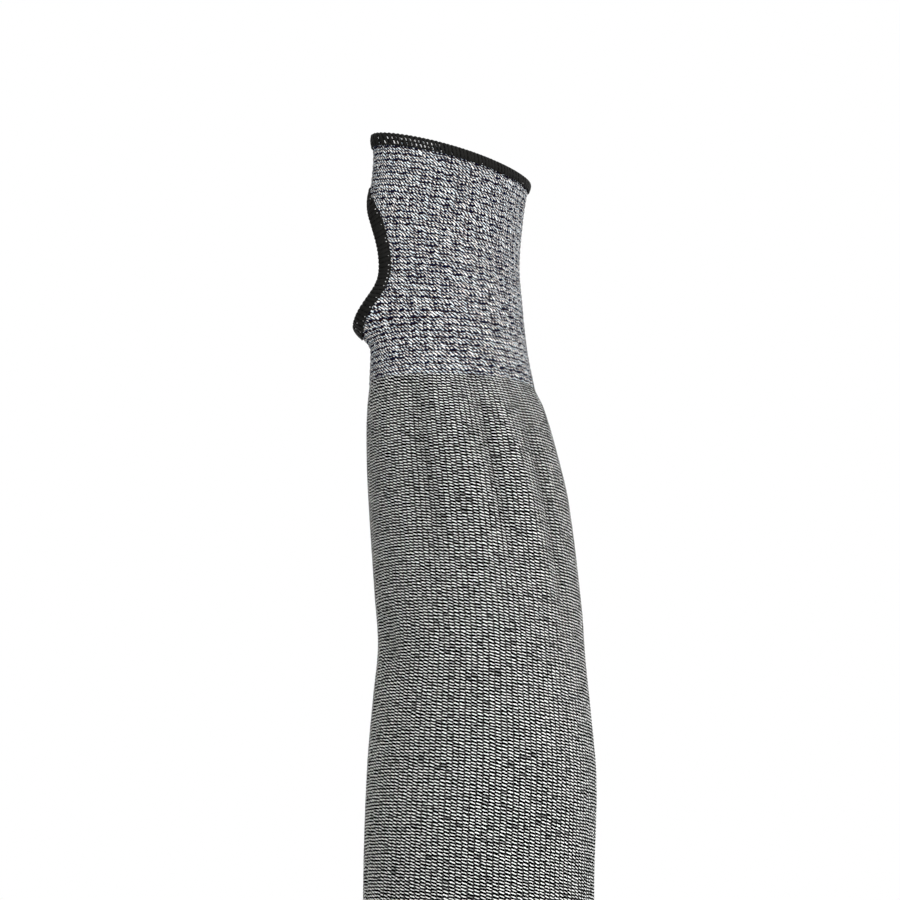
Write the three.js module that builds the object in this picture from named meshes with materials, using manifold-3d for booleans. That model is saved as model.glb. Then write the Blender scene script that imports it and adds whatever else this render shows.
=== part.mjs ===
// Cut resistant sleeve with a thumb hole: one knitted tube, kept in the form that it has on an upright arm.
// +Z runs up the arm towards the hand, +X to the little finger's side and -Y out of the back of the hand.
// The origin is the middle of the wrist, where the arm's plain knit meets the hand part's waffle knit.
import * as THREE from "three";
import { mergeVertices } from "three/addons/utils/BufferGeometryUtils.js";
import Module from "manifold-3d";

// Lengths, in mm
const CUFF_LENGTH = 108.5; // hand part, from the wrist to the hand opening
const ARM_LENGTH = 346; // plain part, from the wrist to the arm opening
const SEAM_GAP = 0.5; // between the two knits

// Widths across X and depths across Y of the worn knit
const HAND_WIDTH = 70;
const HAND_DEPTH = 54;
const WRIST_WIDTH = 73.2;
const WRIST_DEPTH = 50.8;
const FOREARM_WIDTH = 98;
const FOREARM_DEPTH = 84;

// Walls
const CUFF_WALL = 1.8; // waffle knit with elastic in it
const ARM_WALL = 1.4; // single plain knit
const BINDING_WIDTH = 4; // how far the overlocked thread reaches over the knit
const BINDING_THREAD = 0.8; // thread on each face of the knit
const BINDING_ROLL = 1.3; // thread past the knit's cut edge
const BINDING_GAP = 0.3; // between the thread and the knit
const THUMB_BINDING_GAP = 0.85; // wider here, where the knit bends both ways

// Thumb hole, on the -X side of the hand part
const THUMB_HOLE_HEIGHT = 60;
const THUMB_HOLE_WIDTH = 26; // along the knit
const THUMB_BRIDGE = 22.5; // knit between the hole and the hand opening
const THUMB_HOLE_ANGLE = 180; // where the middle of the hole lies round the hand, in degrees
const THUMB_HOLE_SWEEP = 28; // degrees by which its top bends round towards the palm
const THUMB_SWEEP_START = 0.3; // how far below its middle that bend starts, as a share of half its height
const THUMB_PULL = 8.6; // how far the thumb pulls the lower lip out
const THUMB_PULL_RISE = 5; // height of the strongest pull, above the lip
const THUMB_PULL_HEIGHT = 16; // reach of that pull along the arm
const THUMB_PULL_SPREAD = 70; // and round the hand, in degrees

// Folds and courses
const FOLD_DEPTH = 1.8; // of the deepest fold
const CROWN_RISE = 4; // how much higher the hand opening stands over the back of the hand
const CROWN_ANGLE = 285; // where it stands highest, in degrees
const CROWN_SPREAD = 110; // reach of that rise to either side

// Fineness of the facets
const CUFF_AROUND = 52;
const CUFF_LEVELS = 24;
const ARM_AROUND = 52;
const ARM_LEVELS = 14;
const ARM_CROWDING = 1.4; // 1 for even levels, more to crowd them towards the wrist
const HOLE_SIDES = 44;

// Cross-sections. at: share of the part's length from the wrist. wrist: how much of the named width and depth
// is the wrist's, the rest being the hand's or the forearm's. width, depth, right, back: shares of those two,
// where right and back move the section's middle to +X and +Y. tilt and nod: rise of a course for each mm to
// +X and to +Y. crown: share of the named rise over the back of the hand. skew: degrees by which the oval is
// slanted, so that the thumb's side comes forward. A column that is left out is 0.
const CUFF_SECTIONS = [
  { at: 0, wrist: 1, width: 1, depth: 1, right: 0.019, tilt: 0.03, nod: 0, crown: 0, skew: 22 },
  { at: 0.16, wrist: 0.6, width: 0.968, depth: 0.964, right: 0, tilt: 0.04, nod: 0, crown: 0.08, skew: 27 },
  { at: 0.38, wrist: 0.2, width: 0.981, depth: 0.951, right: -0.027, tilt: 0, nod: 0, crown: 0.2, skew: 34 },
  { at: 0.6, wrist: 0, width: 0.99, depth: 0.96, right: -0.045, tilt: -0.06, nod: 0.03, crown: 0.38, skew: 41 },
  { at: 0.82, wrist: 0, width: 0.975, depth: 0.98, right: -0.01, tilt: -0.15, nod: 0.13, crown: 0.7, skew: 44 },
  { at: 0.93, wrist: 0, width: 0.988, depth: 0.99, right: 0.008, tilt: -0.2, nod: 0.19, crown: 0.9, skew: 45 },
  { at: 1, wrist: 0, width: 1.018, depth: 1, right: 0.014, tilt: -0.25, nod: 0.22, crown: 1, skew: 45 },
];
const ARM_SECTIONS = [
  { at: 0, wrist: 1, width: 1, depth: 1, right: 0.019, back: 0, tilt: 0.03, skew: 22 },
  { at: 0.03, wrist: 0.8, width: 1.006, depth: 0.965, right: 0.038, back: 0.006, tilt: 0.05, skew: 18 },
  { at: 0.084, wrist: 0.5, width: 0.98, depth: 0.947, right: 0.063, back: 0.012, tilt: 0.04, skew: 12 },
  { at: 0.151, wrist: 0.2, width: 0.949, depth: 0.9, right: 0.091, back: 0.022, tilt: 0, skew: 7 },
  { at: 0.283, wrist: 0, width: 0.922, depth: 0.89, right: 0.128, back: 0.03, tilt: -0.06, skew: 3 },
  { at: 0.348, wrist: 0, width: 0.918, depth: 0.92, right: 0.142, back: 0.035, tilt: -0.06, skew: 0 },
  { at: 0.412, wrist: 0, width: 0.957, depth: 0.96, right: 0.142, back: 0.04, tilt: -0.06, skew: 0 },
  { at: 0.5, wrist: 0, width: 1.003, depth: 1, right: 0.141, back: 0.04, tilt: -0.07, skew: 0 },
  { at: 0.63, wrist: 0, width: 0.998, depth: 1.01, right: 0.126, back: 0.035, tilt: -0.08, skew: 0 },
  { at: 0.82, wrist: 0, width: 0.99, depth: 1.03, right: 0.125, back: 0.03, tilt: -0.05, skew: 0 },
  { at: 1, wrist: 0, width: 0.99, depth: 1.04, right: 0.125, back: 0.03, tilt: 0, skew: 0 },
];

// Soft folds of the arm knit. from, to: shares of the arm's length. start, end: degrees round the arm at
// those two. spread: half of the fold's width, in degrees. rise: share of the named depth, negative in a groove.
const ARM_FOLDS = [
  { from: -0.03, to: 0.3, start: -116, end: -111, spread: 11, rise: -0.95 },
  { from: -0.03, to: 0.38, start: -93, end: -86, spread: 10, rise: 0.85 },
  { from: -0.03, to: 0.3, start: -79, end: -69, spread: 8, rise: -0.95 },
  { from: 0.0, to: 0.32, start: -64, end: -49, spread: 9, rise: 0.85 },
  { from: 0.0, to: 0.36, start: -47, end: -36, spread: 8, rise: -0.9 },
  { from: 0.3, to: 0.4, start: -158, end: -146, spread: 16, rise: -1.0 },
  { from: -0.03, to: 0.3, start: 35, end: 30, spread: 11, rise: -0.85 },
  { from: 0.0, to: 0.34, start: 62, end: 58, spread: 12, rise: 0.8 },
  { from: -0.03, to: 0.28, start: 92, end: 88, spread: 10, rise: -0.85 },
  { from: -0.03, to: 0.3, start: 140, end: 148, spread: 12, rise: -0.75 },
];

const THUMB_HOLE_TOP = CUFF_LENGTH - THUMB_BRIDGE;
const THUMB_HOLE_BOTTOM = THUMB_HOLE_TOP - THUMB_HOLE_HEIGHT;
const THUMB_HOLE_MIDDLE = (THUMB_HOLE_TOP + THUMB_HOLE_BOTTOM) / 2;
const HAND = { width: HAND_WIDTH, depth: HAND_DEPTH };
const WRIST = { width: WRIST_WIDTH, depth: WRIST_DEPTH };
const FOREARM = { width: FOREARM_WIDTH, depth: FOREARM_DEPTH };

const radians = THREE.MathUtils.degToRad;

// A smooth curve through the named column of a table, at a share of the length.
function column(table, name, at) {
  const last = table.length - 1;
  const value = (k) => table[k][name] ?? 0;
  const slope = (k) => {
    const low = Math.max(k - 1, 0);
    const high = Math.min(k + 1, last);
    return (value(high) - value(low)) / (table[high].at - table[low].at);
  };
  let i = 0;
  while (i < last - 1 && at > table[i + 1].at) i++;
  const span = table[i + 1].at - table[i].at;
  const t = (at - table[i].at) / span;
  if (t <= 0) return value(i) + slope(i) * t * span;
  if (t >= 1) return value(i + 1) + slope(i + 1) * (t - 1) * span;
  const ease = t * t * (3 - 2 * t);
  const leave = t * (1 - t) * (1 - t) * span * slope(i);
  const arrive = t * t * (t - 1) * span * slope(i + 1);
  return value(i) + ease * (value(i + 1) - value(i)) + leave + arrive;
}

// The shorter way round from one angle to another, in degrees.
function turn(from, to) {
  return THREE.MathUtils.euclideanModulo(to - from + 180, 360) - 180;
}

// A round bump, 1 in its middle and 0 from its edge on.
function bump(distance) {
  return Math.abs(distance) < 1 ? Math.cos((distance * Math.PI) / 2) ** 2 : 0;
}

// How far the folds move the arm knit out of its oval.
function armFolds(angle, along) {
  const share = along / ARM_LENGTH;
  let out = 0;
  for (const fold of ARM_FOLDS) {
    const t = (share - fold.from) / (fold.to - fold.from);
    if (t <= 0 || t >= 1) continue;
    const middle = fold.start + (fold.end - fold.start) * t;
    out += fold.rise * FOLD_DEPTH * Math.sin(Math.PI * t) * bump(turn(middle, angle) / fold.spread);
  }
  return out;
}

// How far the thumb pulls the hand part out.
function thumbPull(angle, along) {
  const height = bump((along - THUMB_HOLE_BOTTOM - THUMB_PULL_RISE) / THUMB_PULL_HEIGHT);
  return THUMB_PULL * height * bump(turn(THUMB_HOLE_ANGLE, angle) / THUMB_PULL_SPREAD);
}

// A part of the sleeve: a point of its middle surface is found from the angle round the arm, the distance
// along from the wrist, and an offset out of the wall. towards is 1 up the arm and -1 down it.
function tube(sections, length, end, towards, bulge) {
  const onOval = (angle, along) => {
    const share = (name) => column(sections, name, along / length);
    const width = THREE.MathUtils.lerp(end.width, WRIST.width, share("wrist"));
    const depth = THREE.MathUtils.lerp(end.depth, WRIST.depth, share("wrist"));
    const turned = radians(angle);
    const x = (share("width") * width * Math.cos(turned)) / 2;
    const y = (share("depth") * depth * Math.sin(turned + radians(share("skew")))) / 2;
    const crown = share("crown") * CROWN_RISE * bump(turn(CROWN_ANGLE, angle) / CROWN_SPREAD);
    const rise = share("tilt") * x + share("nod") * y + crown;
    return new THREE.Vector3(x + share("right") * width, y + share("back") * depth, towards * along + rise);
  };
  const normal = (point, angle, along) => {
    const round = point(angle + 0.5, along).sub(point(angle - 0.5, along));
    const up = point(angle, along + 0.5).sub(point(angle, along - 0.5)).multiplyScalar(towards);
    return round.cross(up).normalize();
  };
  const folded = (angle, along) =>
    onOval(angle, along).addScaledVector(normal(onOval, angle, along), bulge(angle, along));
  return (angle, along, offset) =>
    folded(angle, along).addScaledVector(normal(folded, angle, along), offset);
}

const cuff = tube(CUFF_SECTIONS, CUFF_LENGTH, HAND, 1, thumbPull);
const arm = tube(ARM_SECTIONS, ARM_LENGTH, FOREARM, -1, armFolds);

// The closed skin of a loop of rings: each ring is a closed list of points, and the last meets the first.
function skin(rings, flip) {
  const round = rings[0].length;
  const positions = rings.flat().flatMap((point) => point.toArray());
  const index = [];
  for (let i = 0; i < rings.length; i++) {
    const next = (i + 1) % rings.length;
    for (let k = 0; k < round; k++) {
      const a = i * round + k;
      const b = i * round + ((k + 1) % round);
      const c = next * round + ((k + 1) % round);
      const d = next * round + k;
      index.push(...(flip ? [a, c, b, a, d, c] : [a, b, c, a, c, d]));
    }
  }
  const geometry = new THREE.BufferGeometry();
  geometry.setAttribute("position", new THREE.Float32BufferAttribute(positions, 3));
  geometry.setIndex(index);
  return geometry;
}

// Rings of a knitted wall, up its outer face and down its inner one. The last but one on each face lies where
// the thread of the open end's binding stops.
function wallRings(surface, wall, to, levels, crowding, around) {
  const ring = (along, offset) =>
    Array.from({ length: around }, (_, k) => surface((360 * k) / around, along, offset));
  const from = SEAM_GAP / 2;
  const span = to - BINDING_WIDTH - from;
  const heights = Array.from({ length: levels + 1 }, (_, i) => from + span * (i / levels) ** crowding);
  heights.push(to);
  return [
    ...heights.map((along) => ring(along, wall / 2)),
    ...heights.reverse().map((along) => ring(along, -wall / 2)),
  ];
}

// The overlocked thread in section, a channel that holds the knit's cut edge. inward runs from that edge over
// the knit, and out runs away from the middle of the wall.
function bindingSection(wall, gap) {
  const inside = wall / 2 + gap;
  const outside = inside + BINDING_THREAD;
  const face = [
    { inward: BINDING_WIDTH, out: outside },
    { inward: 0, out: outside },
    { inward: -BINDING_ROLL, out: outside / 2 },
  ];
  const channel = [
    { inward: -gap, out: inside },
    { inward: BINDING_WIDTH, out: inside },
  ];
  const mirrored = (points) => points.map(({ inward, out }) => ({ inward, out: -out })).reverse();
  return [...face, ...mirrored(face), ...mirrored(channel), ...channel];
}

// Thread round the open end of a tube.
function endBinding(surface, wall, end, around) {
  const section = bindingSection(wall, BINDING_GAP);
  return Array.from({ length: around }, (_, k) =>
    section.map(({ inward, out }) => surface((360 * k) / around, end - inward, out)),
  );
}

// Length along the knit of one degree round the hand part.
function mmPerDegree(angle, along) {
  return cuff(angle + 0.5, along, 0).distanceTo(cuff(angle - 0.5, along, 0));
}

// The outline of the thumb hole, an oval on the knit with a bent top: grow widens it by that many mm.
function holePoint(turned, grow) {
  const halfHeight = THUMB_HOLE_HEIGHT / 2;
  const spread = THUMB_HOLE_WIDTH / 2 / mmPerDegree(THUMB_HOLE_ANGLE, THUMB_HOLE_MIDDLE);
  const across = Math.cos(turned);
  const up = Math.sin(turned);
  const above = Math.max(up + THUMB_SWEEP_START, 0) / (1 + THUMB_SWEEP_START);
  const angle = THUMB_HOLE_ANGLE - THUMB_HOLE_SWEEP * above ** 2 + spread * across;
  const along = THUMB_HOLE_MIDDLE + halfHeight * up;
  const scale = mmPerDegree(angle, along);
  const outward = new THREE.Vector2(
    across / (spread * scale),
    (up + (2 * THUMB_HOLE_SWEEP * above * across) / spread / (1 + THUMB_SWEEP_START)) / halfHeight,
  ).normalize();
  return { angle: angle + (outward.x * grow) / scale, along: along + outward.y * grow };
}

function thumbBinding() {
  const section = bindingSection(CUFF_WALL, THUMB_BINDING_GAP);
  return Array.from({ length: HOLE_SIDES }, (_, k) =>
    section.map(({ inward, out }) => {
      const { angle, along } = holePoint((2 * Math.PI * k) / HOLE_SIDES, inward);
      return cuff(angle, along, out);
    }),
  );
}

// A closed plug that fills the thumb hole from inside the hand part to outside it.
function thumbPlug() {
  const reach = 3 * CUFF_WALL;
  const ring = (out) =>
    Array.from({ length: HOLE_SIDES }, (_, k) => {
      const { angle, along } = holePoint((2 * Math.PI * k) / HOLE_SIDES, 0);
      return cuff(angle, along, out);
    });
  const inner = ring(-reach);
  const outer = ring(reach);
  const centre = (out) => cuff(THUMB_HOLE_ANGLE, THUMB_HOLE_MIDDLE, out);
  const points = [...inner, ...outer, centre(-reach), centre(reach)];
  const index = [];
  for (let k = 0; k < HOLE_SIDES; k++) {
    const next = (k + 1) % HOLE_SIDES;
    const upper = HOLE_SIDES + k;
    const upperNext = HOLE_SIDES + next;
    index.push(k, next, upperNext, k, upperNext, upper);
    index.push(2 * HOLE_SIDES, next, k);
    index.push(2 * HOLE_SIDES + 1, upper, upperNext);
  }
  const geometry = new THREE.BufferGeometry();
  geometry.setAttribute("position", new THREE.Float32BufferAttribute(points.flatMap((p) => p.toArray()), 3));
  geometry.setIndex(index);
  return geometry;
}

const wasm = await Module();
wasm.setup();

function solid(geometry) {
  const merged = mergeVertices(geometry, 1e-4);
  return new wasm.Manifold(
    new wasm.Mesh({
      numProp: 3,
      vertProperties: new Float32Array(merged.attributes.position.array),
      triVerts: new Uint32Array(merged.index.array),
    }),
  );
}

function fromSolid(made) {
  const mesh = made.getMesh();
  const geometry = new THREE.BufferGeometry();
  geometry.setAttribute("position", new THREE.Float32BufferAttribute(mesh.vertProperties, 3));
  geometry.setIndex(new THREE.BufferAttribute(mesh.triVerts, 1));
  return geometry;
}

const greyKnit = new THREE.MeshStandardMaterial({ color: 0x85868a, roughness: 0.9, metalness: 0 });
const darkKnit = new THREE.MeshStandardMaterial({ color: 0x747474, roughness: 0.9, metalness: 0 });
const blackThread = new THREE.MeshStandardMaterial({ color: 0x1a1a1a, roughness: 0.8, metalness: 0 });

function named(name, geometry, material) {
  geometry.computeVertexNormals();
  const mesh = new THREE.Mesh(geometry, material);
  mesh.name = name;
  return mesh;
}

const cuffWall = skin(wallRings(cuff, CUFF_WALL, CUFF_LENGTH, CUFF_LEVELS, 1, CUFF_AROUND), false);
const armWall = skin(wallRings(arm, ARM_WALL, ARM_LENGTH, ARM_LEVELS, ARM_CROWDING, ARM_AROUND), true);

const sleeve = new THREE.Group();
sleeve.name = "sleeve";
sleeve.add(
  named("cuff", fromSolid(solid(cuffWall).subtract(solid(thumbPlug()))), greyKnit),
  named("arm_tube", armWall, darkKnit),
  named("hand_binding", skin(endBinding(cuff, CUFF_WALL, CUFF_LENGTH, CUFF_AROUND), true), blackThread),
  named("thumb_binding", skin(thumbBinding(), true), blackThread),
  named("arm_binding", skin(endBinding(arm, ARM_WALL, ARM_LENGTH, ARM_AROUND), false), blackThread),
);

export default sleeve;
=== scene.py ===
# Cut resistant sleeve: its two knits stitch by stitch, its overlocked edges, and a plain pale studio.
import math

import bmesh
import bpy
import numpy as np
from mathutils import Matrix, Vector


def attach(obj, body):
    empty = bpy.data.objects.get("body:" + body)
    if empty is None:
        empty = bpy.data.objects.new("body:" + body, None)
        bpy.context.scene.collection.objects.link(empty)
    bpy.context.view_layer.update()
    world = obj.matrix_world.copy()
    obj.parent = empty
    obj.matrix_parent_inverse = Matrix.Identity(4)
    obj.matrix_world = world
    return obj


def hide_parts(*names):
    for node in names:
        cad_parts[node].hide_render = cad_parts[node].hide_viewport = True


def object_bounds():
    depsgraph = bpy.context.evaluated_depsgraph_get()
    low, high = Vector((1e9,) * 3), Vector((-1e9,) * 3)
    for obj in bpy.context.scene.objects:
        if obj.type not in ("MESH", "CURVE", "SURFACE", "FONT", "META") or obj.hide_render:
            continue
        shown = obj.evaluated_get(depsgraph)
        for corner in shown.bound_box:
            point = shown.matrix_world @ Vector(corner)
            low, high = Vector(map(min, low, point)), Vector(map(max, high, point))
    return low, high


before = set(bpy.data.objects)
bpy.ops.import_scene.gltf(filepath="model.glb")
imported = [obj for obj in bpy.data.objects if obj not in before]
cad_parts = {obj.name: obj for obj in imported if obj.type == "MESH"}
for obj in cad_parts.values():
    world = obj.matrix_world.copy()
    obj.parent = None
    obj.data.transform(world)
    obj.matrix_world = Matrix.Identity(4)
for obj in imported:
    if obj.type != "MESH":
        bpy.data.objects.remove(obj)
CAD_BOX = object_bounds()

MM = 0.001

# Camera: the view of the photograph, from a little below the middle of the sleeve
IMAGE_SIDE = 900
PIXEL_MM = 0.45
CAMERA_DISTANCE = 1.0
CAMERA_BELOW = 14.0
CAMERA_TARGET = (0.0, 0.0, -0.029)
CAMERA_NEAREST = 0.01
SENSOR_MM = 36.0

# Studio: light all round except from the thumb hole's side, one lamp, and a pale floor below, in metres
AMBIENT = 1.3
DARK_UP_TO, LIT_FROM = -1.0, -0.4
KEY_PLACE = (1.0, -1.3, -0.1)
KEY_AIM = (0, 0, -0.1)
KEY_SIDE = 0.9
KEY_POWER = 13.0
FLOOR_SIDE = 8
FLOOR_DROP = 0.004
FLOOR_PATCHES = 3.0
FLOOR_TONES = (0.8, 0.86)

# The sleeve's sizes in mm, as in the solids
CUFF_LENGTH = 108.5
ARM_LENGTH = 346.0
HAND_WIDTH, HAND_DEPTH = 70.0, 54.0
WRIST_WIDTH, WRIST_DEPTH = 73.2, 50.8
FOREARM_WIDTH, FOREARM_DEPTH = 98.0, 84.0
CUFF_WALL = 1.8
ARM_WALL = 1.4
BINDING_WIDTH = 4.0
BINDING_ROLL = 1.3
THUMB_HOLE_HEIGHT = 60.0
THUMB_HOLE_WIDTH = 26.0
THUMB_BRIDGE = 22.5
THUMB_HOLE_ANGLE = 180.0
THUMB_HOLE_SWEEP = 28.0
THUMB_SWEEP_START = 0.3
THUMB_HOLE_TOP = CUFF_LENGTH - THUMB_BRIDGE
THUMB_HOLE_BOTTOM = THUMB_HOLE_TOP - THUMB_HOLE_HEIGHT
THUMB_HOLE_MIDDLE = (THUMB_HOLE_TOP + THUMB_HOLE_BOTTOM) / 2
THUMB_PULL = 8.6
THUMB_PULL_RISE = 5.0
THUMB_PULL_HEIGHT = 16.0
THUMB_PULL_SPREAD = 70.0
FOLD_DEPTH = 1.8
CROWN_RISE = 4.0
CROWN_ANGLE = 285.0
CROWN_SPREAD = 110.0

# Cross-sections, with the columns that the solids have
CUFF_SECTIONS = [
    dict(at=0, wrist=1, width=1, depth=1, right=0.019, tilt=0.03, nod=0, crown=0, skew=22),
    dict(at=0.16, wrist=0.6, width=0.968, depth=0.964, right=0, tilt=0.04, nod=0, crown=0.08, skew=27),
    dict(at=0.38, wrist=0.2, width=0.981, depth=0.951, right=-0.027, tilt=0, nod=0, crown=0.2, skew=34),
    dict(at=0.6, wrist=0, width=0.99, depth=0.96, right=-0.045, tilt=-0.06, nod=0.03, crown=0.38, skew=41),
    dict(at=0.82, wrist=0, width=0.975, depth=0.98, right=-0.01, tilt=-0.15, nod=0.13, crown=0.7, skew=44),
    dict(at=0.93, wrist=0, width=0.988, depth=0.99, right=0.008, tilt=-0.2, nod=0.19, crown=0.9, skew=45),
    dict(at=1, wrist=0, width=1.018, depth=1, right=0.014, tilt=-0.25, nod=0.22, crown=1, skew=45),
]
ARM_SECTIONS = [
    dict(at=0, wrist=1, width=1, depth=1, right=0.019, back=0, tilt=0.03, skew=22),
    dict(at=0.03, wrist=0.8, width=1.006, depth=0.965, right=0.038, back=0.006, tilt=0.05, skew=18),
    dict(at=0.084, wrist=0.5, width=0.98, depth=0.947, right=0.063, back=0.012, tilt=0.04, skew=12),
    dict(at=0.151, wrist=0.2, width=0.949, depth=0.9, right=0.091, back=0.022, tilt=0, skew=7),
    dict(at=0.283, wrist=0, width=0.922, depth=0.89, right=0.128, back=0.03, tilt=-0.06, skew=3),
    dict(at=0.348, wrist=0, width=0.918, depth=0.92, right=0.142, back=0.035, tilt=-0.06, skew=0),
    dict(at=0.412, wrist=0, width=0.957, depth=0.96, right=0.142, back=0.04, tilt=-0.06, skew=0),
    dict(at=0.5, wrist=0, width=1.003, depth=1, right=0.141, back=0.04, tilt=-0.07, skew=0),
    dict(at=0.63, wrist=0, width=0.998, depth=1.01, right=0.126, back=0.035, tilt=-0.08, skew=0),
    dict(at=0.82, wrist=0, width=0.99, depth=1.03, right=0.125, back=0.03, tilt=-0.05, skew=0),
    dict(at=1, wrist=0, width=0.99, depth=1.04, right=0.125, back=0.03, tilt=0, skew=0),
]

# The solids' folds
ARM_FOLDS = [
    dict(begin=-0.03, stop=0.3, start=-116, end=-111, spread=11, rise=-0.95),
    dict(begin=-0.03, stop=0.38, start=-93, end=-86, spread=10, rise=0.85),
    dict(begin=-0.03, stop=0.3, start=-79, end=-69, spread=8, rise=-0.95),
    dict(begin=0.0, stop=0.32, start=-64, end=-49, spread=9, rise=0.85),
    dict(begin=0.0, stop=0.36, start=-47, end=-36, spread=8, rise=-0.9),
    dict(begin=0.3, stop=0.4, start=-158, end=-146, spread=16, rise=-1.0),
    dict(begin=-0.03, stop=0.3, start=35, end=30, spread=11, rise=-0.85),
    dict(begin=0.0, stop=0.34, start=62, end=58, spread=12, rise=0.8),
    dict(begin=-0.03, stop=0.28, start=92, end=88, spread=10, rise=-0.85),
    dict(begin=-0.03, stop=0.3, start=140, end=148, spread=12, rise=-0.75),
]

# How far apart the points are that a surface's slope is worked out from, in degrees and mm, and as a share
PROBE = 0.5
PROBE_SHARE = 0.01

# The knit: how many stitches go round and along each part, and the mesh points for each stitch
ARM_WALES = 120
ARM_COURSES = 252
CUFF_WALES = 117
CUFF_COURSES = 72
POINTS_PER_WALE = 3
POINTS_PER_COURSE = 3
ARM_PIECES = ("arm_knit_wrist", "arm_knit_upper", "arm_knit_lower", "arm_knit_elbow")
SEAM_ANGLE = 90.0
ARM_LEAN = 0.5
CUFF_LEAN = 0.3

# Height of the loops, grooves and pits: the two reliefs are in mm, and the others are shares of them
ARM_RELIEF = 0.16
ARM_RIBS = 0.3
CUFF_RELIEF = 0.2
CUFF_LIFT = 0.6
CUFF_PITS = 1.4
CUFF_GROOVES = 0.5
CUFF_ROWS = 0.15
CUFF_RIBS = 0.1

# A waffle cell in stitches
WAFFLE_WALES = 3
WAFFLE_COURSES = 2

# Painted shade and light on the plain knit: how much darker it is down in a fold, and lighter up on it, less
# away from the wrist
PAINTED_GROOVE_SHADE = 0.36
PAINTED_RIDGE_LIGHT = 0.14
FOLD_FADE = 130.0
FOLD_LEAST = 0.35

# The yarns' fine fibre: how fine the noise is, its middle range, and how dark and light it makes the yarn
FIBRE_SCALE = 2600.0
FIBRE_RANGE = (0.25, 0.75)
FIBRE_TONES = (0.85, 1.1)

# How far the yarn of a stitch stands proud in the shading alone, in metres
STITCH_BUMP = {"Strength": 0.35, "Distance": 0.0003}

# Plain knit: how its rows wander, and its light loops, as shares of a stitch
PLAIN_DRIFT = (7.3, 0.2)
PLAIN_RUFFLE_SCALE = 1000.0
PLAIN_RUFFLE = 0.5
PLAIN_SIDEWAYS = 0.16
PLAIN_LOOP = (0.125, 0.14)
PLAIN_LOOP_COURSES = (0.0, 130.0)
PLAIN_LOOP_SPREAD = 0.04
PLAIN_LOOP_ENDS = (0.28, 0.5)
PLAIN_LOOP_TAPER = 0.16
PLAIN_LOOP_SOFT = 0.03
PLAIN_DARK_STITCHES = 0.08
PLAIN_DARK_TONE = 0.4
PLAIN_HAZE_FROM = 0.38
PLAIN_HAZE = 0.07
PLAIN_SIDES = (0.3, 0.7)
PLAIN_TINT_COURSES = (0.0, 90.0)
PLAIN_TINT = (1.0, 0.3)
PLAIN_BLACK = (0.001, 0.001, 0.001, 1.0)
PLAIN_WARM = (1.0, 0.95, 0.88, 1.0)
PLAIN_COOL = (0.88, 0.96, 1.0, 1.0)

# Waffle knit: how its rows and dashes wander, and its dashes, lines and pits, as shares of a stitch
WAFFLE_COARSE_SCALE = 450.0
WAFFLE_RUFFLE_SCALE = 1100.0
WAFFLE_CELLS_WANDER = 1.5
WAFFLE_WAVE = 0.14
WAFFLE_ROWS_WANDER = (0.5, 0.9)
WAFFLE_SLANT_WANDER = (0.4, 0.5)
WAFFLE_CELL_SHIFT = 0.6
DASH_WIDTH = 0.155
DASH_WIDTH_SPREAD = 0.14
DASH_SOFT = 0.06
DASH_TONES = (0.65, 1.0)
LINE_THICK = 0.15
LINE_SECOND = 0.11
LINE_SPREAD = 0.2
LINE_SOFT = 0.05
LINE_WANDER = 0.8
LINE_DARK = 0.98
PIT_SHAPE = (0.8, 1.2)
PIT_SIZE = 0.12
PIT_SIZE_SPREAD = 0.46
PIT_SOFT = (0.05, 0.25)
WAFFLE_LEAST = 0.01
WAFFLE_WARM = (0.98, 0.92, 0.86, 1.0)
WAFFLE_COOL = (0.78, 0.92, 1.0, 1.0)
WAFFLE_WARM_DARK = (0.013, 0.004, 0.001, 1.0)
WAFFLE_COOL_DARK = (0.001, 0.005, 0.023, 1.0)

# The light yarn in the edges, and the black thread with its twisted plies
YARN_SCALE = 900.0
YARN_TONES = ((0.55, 0.58, 0.62, 1.0), (1.0, 0.97, 0.93, 1.0))
THREAD_TWIST = (3.0, 2.0)
THREAD_SCALE = 3000.0
THREAD_PLY, THREAD_FIBRE = 0.6, 0.5
THREAD_TONES = ((0.001, 0.001, 0.001, 1.0), (0.0088, 0.0086, 0.0074, 1.0))
THREAD_BUMP = {"Strength": 0.6, "Distance": 0.00015}

# The overlocked edges, in mm
WRAP_PITCH = 1.98
WRAP_HALF_WIDTH = 0.88
WRAP_HALF_THICKNESS = 0.26
LOOPER_REACH = 1.9
LOOPER_SWING = 0.25
LOOPER_POINTS = 4
LOOPER_HEIGHT = 0.1
LOOPER_FLATNESS = 0.7
HAND_SLITS_ANGLE = 238.0
HAND_SLITS_SPREAD = 45.0
BAND_INSIDE = 0.28
BAND_OUTSIDE = 0.5
BAND_GAP = 0.3
BAND_CORNER = (0.95, 0.75)
BAND_REACH = 0.9
BAND_REACH_LOST = 0.88
NEEDLE_RADIUS = 0.3
NEEDLE_STITCH = (0.05, 0.95, 7)
NEEDLE_INSIDE = 0.15
NEEDLE_HEIGHT = (-0.25, 0.3)
NEEDLE_FLATNESS = 0.8
CHAIN_RADIUS = 0.42
CHAIN_POINTS = 10
CHAIN_INSIDE = 0.2
CHAIN_SWINGS = (0.04, 0.5)
LINE_SIDES = 6
ASIDE = 0.1
EDGE_PROBE = 0.001

# A wrap's path over the edge: share of the binding's width, and mm above its usual level
WRAP_FRONT = [(1, -0.5), (0.9375, -0.1), (0.65, 0.08), (0.3, 0.1), (0.05, 0)]
WRAP_BACK = [(0.05, 0), (0.35, 0.05), (0.7, 0.05), (0.9375, -0.1), (1, -0.5)]
WRAP_TURN = (0.55, 0.7)
WRAP_TURN_POINTS = 7
# How far a wrap has leaned along the edge, in pitches, at shares of its path
WRAP_LEAN_PLACES = (0, 0.3, 0.7, 1)
WRAP_LEANS = (0.0, 0.8, 1.1, 1.9)
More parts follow.
